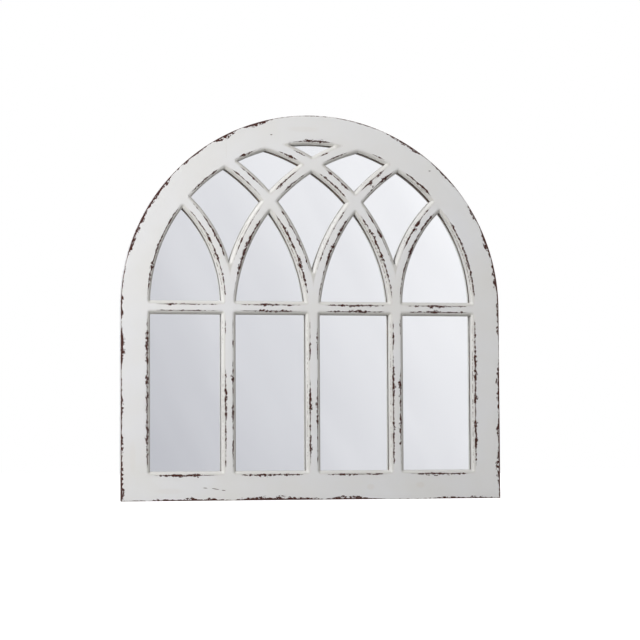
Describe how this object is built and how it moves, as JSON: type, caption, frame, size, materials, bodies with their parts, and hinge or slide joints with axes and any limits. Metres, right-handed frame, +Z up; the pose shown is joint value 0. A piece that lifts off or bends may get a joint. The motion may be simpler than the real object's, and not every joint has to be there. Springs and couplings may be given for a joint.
{
  "type": "arched window mirror",
  "caption": "Wall mirror in a painted timber window frame with a round arch head, square panes and intersecting gothic tracery.",
  "frame": {"origin": "On the wall plane, midway between the round entries of the two keyhole plates.", "axes": "+X to the right as seen from the front, +Y into the wall (the face looks along -Y), +Z up."},
  "size_m": [0.8, 0.024, 0.8],
  "materials": {
    "painted_timber": "matt white paint, worn through at the edges",
    "mirror_plate": "silvered float glass",
    "hardboard": "brown hardboard",
    "dowel_wood": "plain beech",
    "zinc_steel": "zinc plated"
  },
  "bodies": {
    "root": {"bottom_rail": "painted_timber", "left_stile": "painted_timber", "right_stile": "painted_timber", "transom": "painted_timber", "arch_left": "painted_timber", "arch_crown": "painted_timber", "arch_right": "painted_timber", "mullion_left": "painted_timber", "mullion_centre": "painted_timber", "mullion_right": "painted_timber", "short_bar_left": "painted_timber", "short_bar_right": "painted_timber", "long_bar_left": "painted_timber", "long_bar_right": "painted_timber", "middle_bar_left": "painted_timber", "middle_bar_right": "painted_timber", "mirror_glass": "mirror_plate", "back_panel": "hardboard", "frame_dowels": "dowel_wood", "tracery_dowels": "dowel_wood", "glazing_points": "zinc_steel", "keyhole_plate_left": "zinc_steel", "keyhole_plate_right": "zinc_steel", "plate_screws": "zinc_steel"}
  },
  "joints": []
}
